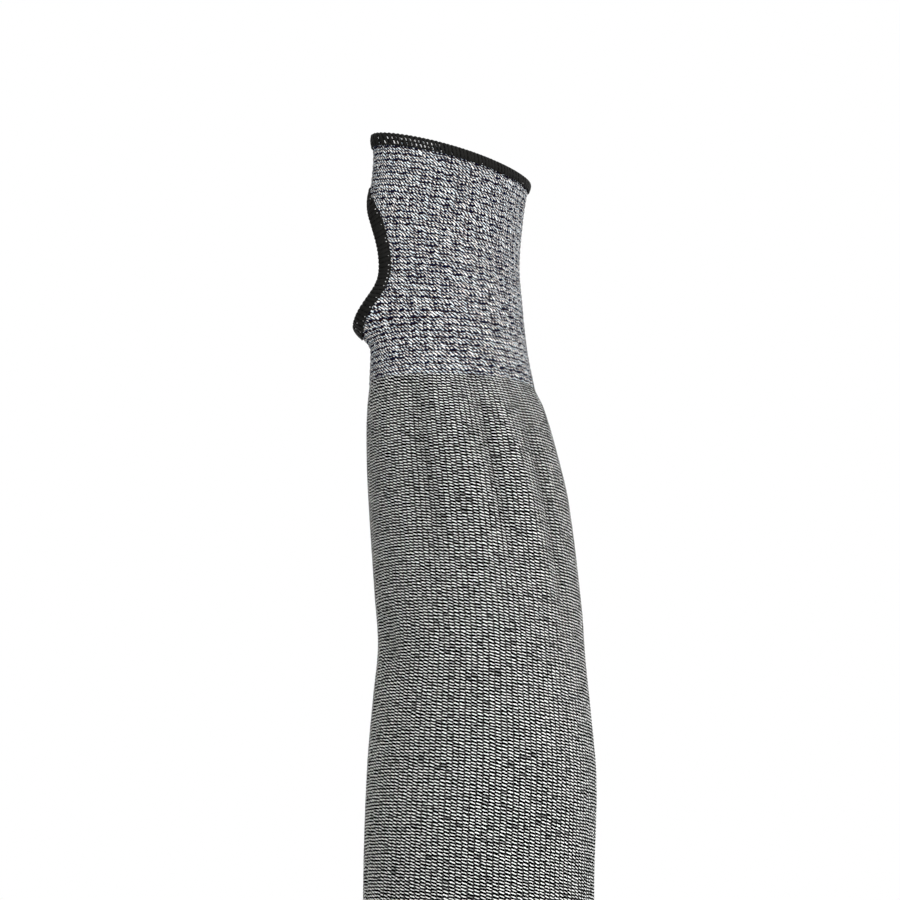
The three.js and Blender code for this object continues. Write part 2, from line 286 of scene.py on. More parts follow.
# How the wraps differ: place in pitches, end in mm, width as a share, and the share lost where they are open
WRAP_SWAY = 0.12
WRAP_END_SWAY = 0.18
WRAP_WIDTH_SWAY = 0.1
WRAP_OPENING = (0.2, 0.48)
WRAP_ENDS = 0.5
WRAP_THIN = 0.5
WRAP_SUNK = 0.8

# Light yarn between the wraps, in mm from the edge: the chance where they are open, and of a speck anywhere
LIGHT_BITS = [
    dict(low=0.5, high=LOOPER_REACH - 0.1, opened=0.8, speck=0),
    dict(low=LOOPER_REACH + 0.15, high=BINDING_WIDTH - 0.4, opened=0.75, speck=0),
    dict(low=BINDING_WIDTH - 0.9, high=BINDING_WIDTH - 0.45, opened=0, speck=1),
    dict(low=1.0, high=1.3, opened=0, speck=0.25),
]
LIGHT_BIT_START = 0.55
LIGHT_BIT_LEAN_FROM = 0.2
LIGHT_BIT_SWAY = 0.12
LIGHT_BIT_HALF_WIDTH = (0.07, 0.24)
LIGHT_BIT_SHAPE = (0.4, 1, 1, 1, 0.4)
LIGHT_BIT_HALF_THICKNESS = 0.2
LIGHT_BIT_HEIGHT = 0.05


def column(table, name, at):
    """The table's named column as a smooth curve."""
    places = np.array([row["at"] for row in table], float)
    values = np.array([row.get(name, 0) for row in table], float)
    last = len(table) - 1
    rows = np.arange(last + 1)
    low, high = np.maximum(rows - 1, 0), np.minimum(rows + 1, last)
    slopes = (values[high] - values[low]) / (places[high] - places[low])
    i = np.clip(np.searchsorted(places, at, side="right") - 1, 0, last - 1)
    span = places[i + 1] - places[i]
    t = (at - places[i]) / span
    ease = t * t * (3 - 2 * t)
    leave = t * (1 - t) * (1 - t) * span * slopes[i]
    arrive = t * t * (t - 1) * span * slopes[i + 1]
    inside = values[i] + ease * (values[i + 1] - values[i]) + leave + arrive
    before = values[i] + slopes[i] * t * span
    after = values[i + 1] + slopes[i + 1] * (t - 1) * span
    return np.where(t <= 0, before, np.where(t >= 1, after, inside))


def turn(start, end):
    """The shorter way round from one angle to another, in degrees."""
    return (end - start + 180) % 360 - 180


def bump(distance):
    """A round bump, 1 in its middle and 0 from its edge on."""
    near = np.clip(np.abs(distance), 0, 1)
    return np.cos(near * math.pi / 2) ** 2


def arm_folds(angle, along):
    share = along / ARM_LENGTH
    out = np.zeros(np.broadcast(angle, along).shape)
    for fold in ARM_FOLDS:
        t = np.clip((share - fold["begin"]) / (fold["stop"] - fold["begin"]), 0, 1)
        middle = fold["start"] + (fold["end"] - fold["start"]) * t
        height = fold["rise"] * FOLD_DEPTH * np.sin(math.pi * t)
        out = out + height * bump(turn(middle, angle) / fold["spread"])
    return out


def thumb_pull(angle, along):
    height = bump((along - THUMB_HOLE_BOTTOM - THUMB_PULL_RISE) / THUMB_PULL_HEIGHT)
    return THUMB_PULL * height * bump(turn(THUMB_HOLE_ANGLE, angle) / THUMB_PULL_SPREAD)


def unit(vectors):
    return vectors / np.linalg.norm(vectors, axis=-1, keepdims=True)


def tube(sections, length, end, towards, bulge):
    """A part of the sleeve: its surface at an angle, a distance along it and an offset from the wall."""

    def on_oval(angle, along):
        angle, along = np.broadcast_arrays(np.asarray(angle, float), np.asarray(along, float))
        share = lambda name: column(sections, name, along / length)
        width = end[0] + (WRIST_WIDTH - end[0]) * share("wrist")
        depth = end[1] + (WRIST_DEPTH - end[1]) * share("wrist")
        turned = np.radians(angle)
        x = share("width") * width * np.cos(turned) / 2
        y = share("depth") * depth * np.sin(turned + np.radians(share("skew"))) / 2
        crown = share("crown") * CROWN_RISE * bump(turn(CROWN_ANGLE, angle) / CROWN_SPREAD)
        rise = share("tilt") * x + share("nod") * y + crown
        return np.stack([x + share("right") * width, y + share("back") * depth, towards * along + rise], -1)

    def normal(point, angle, along):
        around = point(angle + PROBE, along) - point(angle - PROBE, along)
        up = (point(angle, along + PROBE) - point(angle, along - PROBE)) * towards
        return unit(np.cross(around, up))

    def folded(angle, along):
        return on_oval(angle, along) + normal(on_oval, angle, along) * bulge(angle, along)[..., None]

    def surface(angle, along, offset):
        return folded(angle, along) + normal(folded, angle, along) * np.asarray(offset, float)[..., None]

    return surface


cuff = tube(CUFF_SECTIONS, CUFF_LENGTH, (HAND_WIDTH, HAND_DEPTH), 1, thumb_pull)
arm = tube(ARM_SECTIONS, ARM_LENGTH, (FOREARM_WIDTH, FOREARM_DEPTH), -1, arm_folds)


def mm_per_degree(angle, along):
    zero = np.zeros(np.broadcast(angle, along).shape)
    return np.linalg.norm(cuff(angle + PROBE, along, zero) - cuff(angle - PROBE, along, zero), axis=-1)


HOLE_SPREAD = THUMB_HOLE_WIDTH / 2 / float(mm_per_degree(THUMB_HOLE_ANGLE, THUMB_HOLE_MIDDLE))


def hole_middle(up):
    """The angle of the thumb hole's middle line, which bends round towards the back at its top."""
    above = np.maximum(up + THUMB_SWEEP_START, 0) / (1 + THUMB_SWEEP_START)
    return THUMB_HOLE_ANGLE - THUMB_HOLE_SWEEP * above**2


def hole_point(turned, grow):
    """The thumb hole's oval: the angle and the distance along of a point grow mm outside it."""
    half = THUMB_HOLE_HEIGHT / 2
    across, up = np.cos(turned), np.sin(turned)
    angle = hole_middle(up) + HOLE_SPREAD * across
    along = THUMB_HOLE_MIDDLE + half * up
    scale = mm_per_degree(angle, along)
    out_round = across / (HOLE_SPREAD * scale)
    bend = (hole_middle(up - PROBE_SHARE) - hole_middle(up + PROBE_SHARE)) / (2 * PROBE_SHARE)
    out_up = (up + bend * across / HOLE_SPREAD) / half
    size = np.hypot(out_round, out_up)
    return angle + out_round / size * grow / scale, along + out_up / size * grow


def make_object(name, points_mm, faces, slot, node, material, uvs):
    """A piece from points in mm, arrays of faces, and arrays of the stitches at the faces' corners."""
    mesh = bpy.data.meshes.new(name)
    counts = np.concatenate([np.full(len(f), f.shape[1]) for f in faces])
    corners = np.concatenate([f.ravel() for f in faces]).astype(np.int32)
    starts = np.concatenate([[0], np.cumsum(counts)[:-1]]).astype(np.int32)
    mesh.vertices.add(len(points_mm))
    mesh.vertices.foreach_set("co", (np.asarray(points_mm, np.float32) * MM).ravel())
    mesh.loops.add(len(corners))
    mesh.loops.foreach_set("vertex_index", corners)
    mesh.polygons.add(len(counts))
    mesh.polygons.foreach_set("loop_start", starts)
    mesh.polygons.foreach_set("use_smooth", np.ones(len(counts), bool))
    corner_uvs = np.concatenate([uv.reshape(-1, 2) for uv in uvs]).astype(np.float32)
    mesh.uv_layers.new(name="stitches").data.foreach_set("uv", corner_uvs.ravel())
    mesh.update(calc_edges=True)
    mesh.validate()
    piece = bpy.data.objects.new(name, mesh)
    bpy.context.scene.collection.objects.link(piece)
    mesh.materials.append(material)
    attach(piece, "root")
    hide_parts(node)
    return piece


class Nodes:
    """Short ways to write a material's or world's nodes."""

    # sockets of the colour mix, which Blender names alike for every kind of mix
    MIX_SHARE, MIX_FIRST, MIX_SECOND, MIX_RESULT = 0, 6, 7, 2

    def __init__(self, tree):
        self.tree = tree

    def add(self, kind, inputs=(), **settings):
        node = self.tree.nodes.new(kind)
        for key, value in settings.items():
            setattr(node, key, value)
        for key, value in dict(inputs).items():
            self.feed(node.inputs[key], value)
        return node

    def feed(self, socket, value):
        if isinstance(value, bpy.types.NodeSocket):
            self.tree.links.new(value, socket)
        else:
            socket.default_value = value

    def math(self, operation, *values):
        node = self.add("ShaderNodeMath", operation=operation)
        for socket, value in zip(node.inputs, values):
            self.feed(socket, value)
        return node.outputs[0]

    def plus(self, a, b):
        return self.math("ADD", a, b)

    def minus(self, a, b):
        return self.math("SUBTRACT", a, b)

    def times(self, a, b):
        return self.math("MULTIPLY", a, b)

    def fract(self, a):
        return self.math("FRACT", a)

    def floor(self, a):
        return self.math("FLOOR", a)

    def step(self, value, low, high, to_low=0.0, to_high=1.0):
        """value from low to high becomes to_low to to_high, smoothly."""
        node = self.add("ShaderNodeMapRange", interpolation_type="SMOOTHSTEP")
        for socket, number in zip(node.inputs, (value, low, high, to_low, to_high)):
            self.feed(socket, number)
        return node.outputs[0]

    def vector(self, x, y, z):
        node = self.add("ShaderNodeCombineXYZ")
        for socket, value in zip(node.inputs, (x, y, z)):
            self.feed(socket, value)
        return node.outputs[0]

    def split(self, vector):
        """The x, y and z of a vector."""
        return self.add("ShaderNodeSeparateXYZ", {"Vector": vector}).outputs

    def place(self):
        """Where a point is on its object, in metres."""
        return self.add("ShaderNodeTexCoord").outputs["Object"]

    def stitches(self):
        """Where a point is in the stitches, counted in wales and courses, or in threads and turns."""
        return self.split(self.add("ShaderNodeUVMap", uv_map="stitches").outputs[0])[:2]

    def fibre(self, place):
        return self.step(self.noise(place, FIBRE_SCALE, 1.0), *FIBRE_RANGE, *FIBRE_TONES)

    def random(self, x, y, seed):
        """A number from 0 to 1 for each whole x and y."""
        place = self.vector(x, y, seed)
        return self.add("ShaderNodeTexWhiteNoise", {"Vector": place}, noise_dimensions="3D").outputs["Value"]

    def noise(self, place, scale, detail):
        inputs = {"Vector": place, "Scale": scale, "Detail": detail}
        return self.add("ShaderNodeTexNoise", inputs, noise_dimensions="3D").outputs[0]

    def blend(self, share, first, second):
        inputs = {self.MIX_SHARE: share, self.MIX_FIRST: first, self.MIX_SECOND: second}
        return self.add("ShaderNodeMix", inputs, data_type="RGBA", clamp_factor=True).outputs[self.MIX_RESULT]

    def away(self, value, middle=0.5):
        """How far a value is from a middle, on either side."""
        return self.math("ABSOLUTE", self.minus(value, middle))

    def spread(self, value, width):
        """A share from 0 to 1 as an amount from minus half the width to half of it."""
        return self.times(self.minus(value, 0.5), width)


def new_material(name, roughness, specular):
    material = bpy.data.materials.new(name)
    material.use_nodes = True
    nodes = Nodes(material.node_tree)
    shader = material.node_tree.nodes["Principled BSDF"]
    shader.inputs["Roughness"].default_value = roughness
    shader.inputs["Specular IOR Level"].default_value = specular
    return material, nodes, shader


def finish_material(nodes, shader, colour, height, bump_sizes):
    nodes.feed(shader.inputs["Base Color"], colour)
    relief = nodes.add("ShaderNodeBump", {**bump_sizes, "Height": height})
    nodes.feed(shader.inputs["Normal"], relief.outputs[0])


def grey(value):
    return (value, value, value, 1.0)


def stitch_coordinates(nodes, lean):
    """Wale, course, the place across a stitch, and the course that leans by lean across each wale."""
    wale, course = nodes.stitches()
    in_wale = nodes.fract(wale)
    return wale, course, in_wale, nodes.plus(course, nodes.spread(in_wale, lean))


def plain_knit_material():
    material, nodes, shader = new_material("plain_knit", roughness=0.9, specular=0.0)
    place = nodes.place()
    wale, course, in_wale, leaned = stitch_coordinates(nodes, -ARM_LEAN)

    # each wale's rows wander a little, so stitches of neighbouring wales aren't in line
    rib = nodes.floor(wale)
    apart, along = PLAIN_DRIFT
    drift = nodes.noise(nodes.vector(nodes.times(rib, apart), nodes.times(course, along), 1.0), 1.0, 1.0)
    ruffle = nodes.noise(place, PLAIN_RUFFLE_SCALE, 2.0)
    leaned = nodes.plus(leaned, nodes.plus(nodes.minus(drift, 0.5), nodes.spread(ruffle, PLAIN_RUFFLE)))
    in_course = nodes.fract(leaned)
    row = nodes.floor(leaned)
    first, second = nodes.random(rib, row, 3.0), nodes.random(rib, row, 8.0)
    from_side = nodes.away(nodes.plus(in_wale, nodes.spread(first, PLAIN_SIDEWAYS)))

    # the light loop's height as a share of its course: thinner at its ends, different in each stitch
    reach = nodes.step(course, *PLAIN_LOOP_COURSES, *PLAIN_LOOP)
    reach = nodes.plus(reach, nodes.spread(second, PLAIN_LOOP_SPREAD))
    reach = nodes.minus(reach, nodes.times(nodes.step(from_side, *PLAIN_LOOP_ENDS), PLAIN_LOOP_TAPER))
    loop = nodes.step(nodes.minus(reach, nodes.away(in_course)), -PLAIN_LOOP_SOFT, PLAIN_LOOP_SOFT)

    # a few stitches in a hundred show the dark yarn instead, and all get painted shade down in a fold and
    # painted light up on it
    light = nodes.step(second, 0.0, PLAIN_DARK_STITCHES, PLAIN_DARK_TONE, 1.0)
    # the painted fold shade and light, read from the points
    painted_shading = nodes.add("ShaderNodeAttribute", attribute_name="painted_shading").outputs["Fac"]
    bright = nodes.times(nodes.times(nodes.times(loop, light), nodes.fibre(place)), painted_shading)

    # loose grey fibre between the wales
    haze = nodes.times(nodes.step(from_side, PLAIN_HAZE_FROM, 0.5), nodes.times(first, PLAIN_HAZE))
    bright = nodes.math("MAXIMUM", bright, haze)

    # a loop's upper side is warmer than its lower one, most near the wrist
    side = nodes.step(in_course, *PLAIN_SIDES)
    tint = nodes.step(course, *PLAIN_TINT_COURSES, *PLAIN_TINT)
    shift = nodes.plus(0.5, nodes.times(nodes.minus(side, 0.5), tint))
    colour = nodes.blend(bright, PLAIN_BLACK, nodes.blend(shift, PLAIN_WARM, PLAIN_COOL))
    finish_material(nodes, shader, colour, loop, STITCH_BUMP)
    return material


def waffle_knit_material():
    material, nodes, shader = new_material("waffle_knit", roughness=0.9, specular=0.0)
    place = nodes.place()
    wale, course, _, leaned = stitch_coordinates(nodes, CUFF_LEAN)
    coarse = nodes.minus(nodes.noise(place, WAFFLE_COARSE_SCALE, 2.0), 0.5)
    ruffle = nodes.minus(nodes.noise(place, WAFFLE_RUFFLE_SCALE, 2.0), 0.5)

    def wander(sizes):
        return nodes.plus(nodes.times(coarse, sizes[0]), nodes.times(ruffle, sizes[1]))

    # the courses wave up and down over the waffle's cells
    cells = nodes.times(nodes.plus(wale, nodes.times(coarse, WAFFLE_CELLS_WANDER)), 1.0 / WAFFLE_WALES)
    wave = nodes.math("SINE", nodes.times(cells, 2 * math.pi))
    leaned = nodes.plus(leaned, nodes.plus(wander(WAFFLE_ROWS_WANDER), nodes.times(wave, WAFFLE_WAVE)))
    row, in_row = nodes.floor(leaned), nodes.fract(leaned)
    cell = nodes.floor(cells)

    # every stitch is a light dash that leans by a wale over its course, and starts anew in each cell and row
    slant = nodes.plus(nodes.plus(wale, course), wander(WAFFLE_SLANT_WANDER))
    slant = nodes.plus(slant, nodes.times(nodes.random(cell, row, 4.0), WAFFLE_CELL_SHIFT))
    dash = nodes.floor(slant)
    first, second = nodes.random(dash, row, 5.0), nodes.random(dash, row, 6.0)
    width = nodes.plus(DASH_WIDTH, nodes.times(first, DASH_WIDTH_SPREAD))
    loop = nodes.step(nodes.minus(width, nodes.away(nodes.fract(slant))), -DASH_SOFT, DASH_SOFT)

    # dark lines between the courses, uneven, and wider at every second course
    near_row = nodes.floor(nodes.plus(leaned, 0.5))
    second_row = nodes.step(nodes.fract(nodes.times(near_row, 0.5)), 0.2, 0.3)
    from_line = nodes.away(leaned, near_row)
    uneven = nodes.random(nodes.floor(nodes.plus(wale, nodes.times(ruffle, LINE_WANDER))), near_row, 9.0)
    thick = nodes.plus(LINE_THICK, nodes.times(second_row, LINE_SECOND))
    thick = nodes.plus(thick, nodes.spread(uneven, LINE_SPREAD))
    line = nodes.step(nodes.minus(thick, from_line), -LINE_SOFT, LINE_SOFT)

    # a dark pit where every third wale meets a wide line
    pit_x = nodes.spread(nodes.fract(cells), WAFFLE_WALES * PIT_SHAPE[0])
    pit_y = nodes.times(from_line, PIT_SHAPE[1])
    pit_far = nodes.math("SQRT", nodes.plus(nodes.times(pit_x, pit_x), nodes.times(pit_y, pit_y)))
    pit_size = nodes.plus(PIT_SIZE, nodes.times(nodes.random(cell, near_row, 2.0), PIT_SIZE_SPREAD))
    pit = nodes.times(nodes.step(nodes.minus(pit_far, pit_size), *PIT_SOFT, 1.0, 0.0), second_row)
    light = nodes.plus(WAFFLE_LEAST, nodes.times(loop, nodes.step(second, 0.0, 1.0, *DASH_TONES)))
    for dark in (line, pit):
        light = nodes.times(light, nodes.minus(1.0, nodes.times(dark, LINE_DARK)))
    light = nodes.times(light, nodes.fibre(place))

    # in the lower half of a row the yarn is cooler, and in the upper half warmer
    shift = nodes.plus(0.5, nodes.times(nodes.math("SINE", nodes.times(in_row, 2 * math.pi)), 0.5))
    dark_yarn = nodes.blend(shift, WAFFLE_WARM_DARK, WAFFLE_COOL_DARK)
    light_yarn = nodes.blend(shift, WAFFLE_WARM, WAFFLE_COOL)
    finish_material(nodes, shader, nodes.blend(light, dark_yarn, light_yarn), light, STITCH_BUMP)
    return material


def yarn_material():
    """The knit's own light yarn, where it shows between the overlock's wraps."""
    material, nodes, shader = new_material("light_yarn", roughness=0.8, specular=0.05)
    tone = nodes.noise(nodes.place(), YARN_SCALE, 2.0)
    nodes.feed(shader.inputs["Base Color"], nodes.blend(tone, *YARN_TONES))
    return material


def thread_material():
    """Black thread with fine plies twisted round it."""
    material, nodes, shader = new_material("overlock_thread", roughness=0.6, specular=0.12)
    along, around = nodes.stitches()
    twist = nodes.plus(nodes.times(along, THREAD_TWIST[0]), nodes.times(around, THREAD_TWIST[1]))
    ply = nodes.math("ABSOLUTE", nodes.math("SINE", nodes.times(twist, math.pi)))
    fibre = nodes.noise(nodes.place(), THREAD_SCALE, 2.0)
    tone = nodes.plus(nodes.times(ply, THREAD_PLY), nodes.times(fibre, THREAD_FIBRE))
    finish_material(nodes, shader, nodes.blend(tone, *THREAD_TONES), tone, THREAD_BUMP)
    return material


def arm_relief(wale, course):
    """Height of the plain knit's loops in mm."""
    leaned = course - ARM_LEAN * (wale % 1 - 0.5)
    return -ARM_RELIEF * (np.cos(2 * math.pi * leaned) + ARM_RIBS * np.cos(2 * math.pi * wale))


def cuff_relief(wale, course):
    """Height of the waffle knit in mm: pits in a grid, joined by grooves along every second course."""
    across = np.cos(2 * math.pi * (wale / WAFFLE_WALES - 0.5))
    along = np.cos(2 * math.pi * (course / WAFFLE_COURSES - 0.5))
    pit = (0.5 + 0.5 * across) * (0.5 + 0.5 * along)
    loops = CUFF_ROWS * np.cos(2 * math.pi * course) + CUFF_RIBS * np.cos(2 * math.pi * wale)
    return CUFF_RELIEF * (CUFF_LIFT - CUFF_PITS * pit - CUFF_GROOVES * along - loops)


def painted_fold_shading(angle, along):
    """Painted shade and light on the plain knit: darker down in a fold, and lighter up on it."""
    near_wrist = FOLD_LEAST + (1 - FOLD_LEAST) * bump(along / FOLD_FADE)
    fold = arm_folds(angle, along) / FOLD_DEPTH * near_wrist
    # painted shade in a groove, painted light on a ridge
    return 1 + np.where(fold < 0, PAINTED_GROOVE_SHADE, PAINTED_RIDGE_LIGHT) * fold


ARM_KNIT = dict(
    surface=arm, wall=ARM_WALL, length=ARM_LENGTH, wales=ARM_WALES, courses=ARM_COURSES,
    relief=arm_relief, slot="plain_knit", node="arm_tube",
)
CUFF_KNIT = dict(
    surface=cuff, wall=CUFF_WALL, length=CUFF_LENGTH, wales=CUFF_WALES, courses=CUFF_COURSES,
    relief=cuff_relief, slot="waffle_knit", node="cuff",
)


def knit_wall(name, first, last, material, surface, wall, length, wales, courses, relief, slot, node):
    """A closed piece of knitted wall between two courses, fine outside and plainer inside."""
    columns = wales * POINTS_PER_WALE
    rows = (last - first) * POINTS_PER_COURSE
    wale = np.arange(columns) / POINTS_PER_WALE
    course = first + np.arange(rows + 1) / POINTS_PER_COURSE
    angle = SEAM_ANGLE + 360 * wale / wales
    along = length * course / courses
    outer_grid = np.meshgrid(angle, along)
    outer = surface(*outer_grid, wall / 2 + relief(*np.meshgrid(wale, course)))
    in_wale = np.arange(wales)
    in_course = np.arange(first, last + 1)
    in_angle = SEAM_ANGLE + 360 * in_wale / wales
    in_along = length * in_course / courses
    inner = surface(*np.meshgrid(in_angle, in_along), np.full((len(in_along), wales), -wall / 2))
    points = np.concatenate([outer.reshape(-1, 3), inner.reshape(-1, 3)])
    flip = outer[0, 0, 2] > outer[-1, 0, 2]

    def grid(rows, columns, base, wale_step, course_step, turned):
        j, i = np.meshgrid(np.arange(rows), np.arange(columns), indexing="ij")
        j, i = j.ravel(), i.ravel()
        corners = ((0, 0), (1, 0), (1, 1), (0, 1))
        quads = np.stack([(j + dj) * columns + (i + di) % columns for di, dj in corners], 1)
        uv = np.stack([np.stack([i + di, j + dj], 1) for di, dj in corners], 1)
        uv = uv * np.array([wale_step, course_step])
        uv[..., 1] += first
        if turned:
            quads, uv = quads[:, ::-1], uv[:, ::-1]
        return quads + base, uv

    base = len(outer.reshape(-1, 3))
    quads, uvs = [], []
    for faces, uv in (
        grid(rows, columns, 0, 1 / POINTS_PER_WALE, 1 / POINTS_PER_COURSE, flip),
        grid(last - first, wales, base, 1, 1, not flip),
    ):
        quads.append(faces)
        uvs.append(uv)

    def rim(row, inner_row, turned, at):
        outer_start = row * columns
        inner_start = base + inner_row * wales
        k = np.arange(wales)
        tris, tri_uv = [], []
        for step in range(POINTS_PER_WALE):
            a = inner_start + k
            b = outer_start + k * POINTS_PER_WALE + step
            c = outer_start + (k * POINTS_PER_WALE + step + 1) % columns
            tris.append(np.stack([a, b, c], 1))
        a = inner_start + k
        c = outer_start + ((k + 1) * POINTS_PER_WALE) % columns
        d = inner_start + (k + 1) % wales
        tris.append(np.stack([a, c, d], 1))
        tris = np.concatenate(tris)
        uv = np.zeros((len(tris), 3, 2))
        uv[..., 0] = np.tile(k, POINTS_PER_WALE + 1)[:, None]
        uv[..., 1] = at
        if turned:
            tris = tris[:, ::-1]
        return tris, uv

    for faces, uv in (
        rim(0, 0, not flip, first),
        rim(rows, last - first, flip, last),
    ):
        quads.append(faces)
        uvs.append(uv)
    return make_object(name, points, quads, slot, node, material, uvs), outer_grid


def paint_fold_shading(piece, grid):
    """Writes the painted fold shade and light, how light the plain knit is, at each outer point. The inner
    points come after these.
    """
    tone = painted_fold_shading(*grid).ravel()
    tone = np.concatenate([tone, np.ones(len(piece.data.vertices) - len(tone))])
    piece.data.attributes.new("painted_shading", "FLOAT", "POINT").data.foreach_set("value", tone.astype(np.float32))


def cut_thumb_hole(piece):
    """Takes the oval of the thumb hole out of the hand part and closes its cut edge."""
    mesh = piece.data
    bm = bmesh.new()
    bm.from_mesh(mesh)
    layer = bm.loops.layers.uv["stitches"]
    half = THUMB_HOLE_HEIGHT / 2
    gone = []
    for face in bm.faces:
        u = sum(loop[layer].uv[0] for loop in face.loops) / len(face.loops)
        v = sum(loop[layer].uv[1] for loop in face.loops) / len(face.loops)
        up = (CUFF_LENGTH * v / CUFF_COURSES - THUMB_HOLE_MIDDLE) / half
        across = turn(hole_middle(up), SEAM_ANGLE + 360 * u / CUFF_WALES) / HOLE_SPREAD
        if across * across + up * up < 1.0:
            gone.append(face)
    bmesh.ops.delete(bm, geom=gone, context="FACES")
    rim = [edge for edge in bm.edges if edge.is_boundary]
    bmesh.ops.bridge_loops(bm, edges=rim)
    bmesh.ops.recalc_face_normals(bm, faces=bm.faces[:])
    for face in bm.faces:
        face.smooth = True
    bm.to_mesh(mesh)
    bm.free()


def even_places(edge, count, samples=1440):
    """Places round a closed edge that lie evenly along it: a function from a number of steps to a share."""
    share = np.arange(samples + 1) / samples
    zero = np.zeros_like(share)
    points = edge(share, zero, zero)
    lengths = np.concatenate([[0], np.cumsum(np.linalg.norm(np.diff(points, axis=0), axis=1))])

    def place(steps):
        rounds = steps / count
        return np.floor(rounds) + np.interp(rounds % 1 * lengths[-1], lengths, share)

    return place


def edge_length(edge, samples=720):
    share = np.arange(samples + 1) / samples
    points = edge(share, np.zeros_like(share), np.zeros_like(share))
    return float(np.linalg.norm(np.diff(points, axis=0), axis=1).sum())


def hand_edge(share, inward, out):
    return cuff(SEAM_ANGLE + 360 * share, CUFF_LENGTH - inward, out)


def arm_edge(share, inward, out):
    return arm(SEAM_ANGLE + 360 * share, ARM_LENGTH - inward, out)


def thumb_edge(share, inward, out):
    angle, along = hole_point(2 * math.pi * share, inward)
    return cuff(angle, along, out)


def strands(paths, across, half_width, half_thickness, sides=8, closed=False):
    """Tubes along paths of shape (strand, point, 3), oval in section and wide in the direction across."""
    if closed:
        along = np.roll(paths, -1, axis=1) - np.roll(paths, 1, axis=1)
    else:
        along = np.gradient(paths, axis=1)
    along = unit(along)
    up = unit(np.cross(along, across))
    side = unit(np.cross(up, along))
    turned = 2 * math.pi * np.arange(sides) / sides
    ring = (
        paths[:, :, None, :]
        + side[:, :, None, :] * (half_width[..., None, None] * np.cos(turned)[:, None])
        + up[:, :, None, :] * (half_thickness[..., None, None] * np.sin(turned)[:, None])
    )
    count, steps = paths.shape[:2]
    points = ring.reshape(-1, 3)
    spans = steps if closed else steps - 1
    n, j, k = np.meshgrid(np.arange(count), np.arange(spans), np.arange(sides), indexing="ij")
    n, j, k = n.ravel(), j.ravel(), k.ravel()
    place = lambda row, column: (n * steps + row % steps) * sides + column % sides
    quads = np.stack([place(j, k), place(j, k + 1), place(j + 1, k + 1), place(j + 1, k)], 1)
    corners = ((0, 0), (0, 1), (1, 1), (1, 0))
    uv = np.stack([np.stack([j + dj, (k + dk) / sides], 1) for dj, dk in corners], 1)
    faces, uvs = [quads], [uv * 1.0]
    if not closed:
        first = (np.arange(count) * steps * sides)[:, None] + np.arange(sides)[::-1][None, :]
        final = (np.arange(count) * steps * sides + (steps - 1) * sides)[:, None] + np.arange(sides)[None, :]
        faces += [first, final]
        uvs += [np.zeros((count, sides, 2))] * 2
    return points, faces, uvs


def joined(parts):
    """Several sets of points and faces as one."""
    points, faces, uvs, base = [], [], [], 0
    for part_points, part_faces, part_uvs in parts:
        points.append(part_points)
        faces += [f + base for f in part_faces]
        uvs += part_uvs
        base += len(part_points)
    return np.concatenate(points), faces, uvs


def band(edge, wall, reach, steps):
    """The thin closed channel of thread under the wraps. reach gives its width at each share of the edge."""
    inside, outside = wall / 2 + BAND_INSIDE, wall / 2 + BAND_OUTSIDE
    corner_in, corner_out = BAND_CORNER
    share = np.arange(steps) / steps
    width = reach(share)
    zero = 0 * share
    rows = [(width, outside), (width / 2, outside), (zero, outside)]
    rows += [(zero - corner_in, outside * corner_out), (zero - BINDING_ROLL, 0.0)]
    rows += [(zero - corner_in, -outside * corner_out)]
    rows += [(zero, -outside), (width / 2, -outside), (width, -outside), (width, -inside)]
    rows += [(zero - BAND_GAP, -inside), (zero - BAND_GAP, inside), (width, inside)]
    sides = len(rows)
    ring = np.stack([edge(share, inward, np.full(steps, out)) for inward, out in rows], 1)
    j, k = np.meshgrid(np.arange(steps), np.arange(sides), indexing="ij")
    j, k = j.ravel(), k.ravel()
    place = lambda row, column: (row % steps) * sides + column % sides
    quads = np.stack([place(j, k), place(j + 1, k), place(j + 1, k + 1), place(j, k + 1)], 1)
    corners = ((0, 0), (1, 0), (1, 1), (0, 1))
    uv = np.stack([np.stack([(k + dk) * 1.0, (j + dj) * 0.5], 1) for dj, dk in corners], 1)
    return ring.reshape(-1, 3), [quads], [uv]


def wraps(edge, places, count, lift, openness, draw):
    """The leaning threads over the edge, one for each pitch, thinner where they turn round it."""
    turned = np.sin(np.linspace(0, math.pi, WRAP_TURN_POINTS))[1:-1]
    level = np.cos(np.linspace(0, math.pi, WRAP_TURN_POINTS))[1:-1]
    (front_in, front_up), (back_in, back_up) = np.transpose(WRAP_FRONT), np.transpose(WRAP_BACK)
    over_edge = -WRAP_TURN[0] - (BINDING_ROLL - WRAP_TURN[1]) * turned
    inward = np.concatenate([BINDING_WIDTH * front_in, over_edge, BINDING_WIDTH * back_in])
    out = np.concatenate([lift + front_up, lift * level, -lift - back_up])
    lean = -np.interp(np.linspace(0, 1, len(inward)), WRAP_LEAN_PLACES, WRAP_LEANS)
    sway = draw.uniform(-WRAP_SWAY, WRAP_SWAY, (count, 1))
    share = places(np.arange(count)[:, None] + lean[None, :] + sway)
    end_sway = draw.uniform(-WRAP_END_SWAY, WRAP_END_SWAY, (count, 1))
    depth = inward[None, :] + end_sway * (inward > 1)[None, :]
    width_sway = draw.uniform(-WRAP_WIDTH_SWAY, WRAP_WIDTH_SWAY, (count, 1))
    wide = WRAP_HALF_WIDTH * (1 + width_sway - openness(share) * draw.uniform(*WRAP_OPENING, (count, 1)))
    wide[:, [0, -1]] *= WRAP_ENDS
    thick = np.where(inward < 0, WRAP_THIN, 1.0) * WRAP_HALF_THICKNESS + 0 * share
    path, across = on_edge(edge, share, depth, out)
    return strands(path, across, wide, thick)


def on_edge(edge, share, depth, out):
    """Points over an edge, and the direction along the edge at each."""
    out = np.broadcast_to(out, share.shape)
    path = edge(share, depth, out)
    return path, unit(edge(share + EDGE_PROBE, depth, out) - path)


